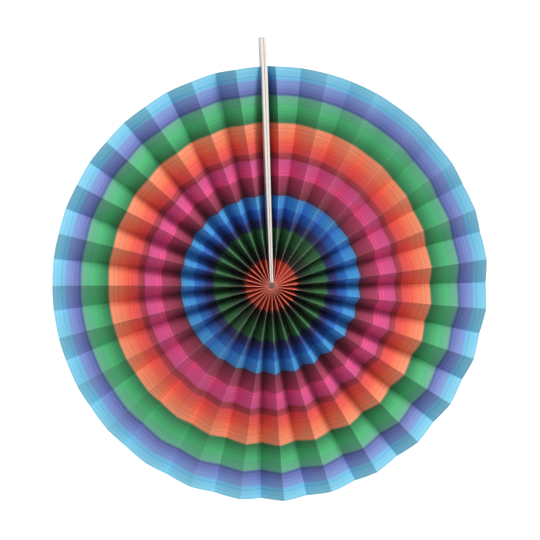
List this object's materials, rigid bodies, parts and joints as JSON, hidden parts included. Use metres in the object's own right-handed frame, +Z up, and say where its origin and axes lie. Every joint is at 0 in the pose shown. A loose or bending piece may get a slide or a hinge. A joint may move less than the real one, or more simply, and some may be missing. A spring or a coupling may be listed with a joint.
{
  "type": "paper fan rosette",
  "caption": "Round hanging rosette of a striped paper strip pleated into a full disc, closed by two white end cards whose ends stand past the rim as a punched tab.",
  "frame": {"origin": "centre of the hang hole in the tab, half way across the pair of cards", "axes": "+Z up towards the end of the tab, +X to the right as seen from the front and along the hang hole, -Y out of the front of the disc"},
  "size_m": [0.3046, 0.0267, 0.3248],
  "materials": {
    "printed_paper": "matte, printed in round bands of blue, violet, green, orange, pink, navy and red",
    "white_card": "matte white",
    "tape": "matte, translucent",
    "clear_glue": "glossy, cloudy"
  },
  "bodies": {
    "root": {"pleated_paper": "printed_paper", "left_card": "white_card", "right_card": "white_card", "card_tape": "tape", "hub_glue": "clear_glue"}
  },
  "joints": []
}
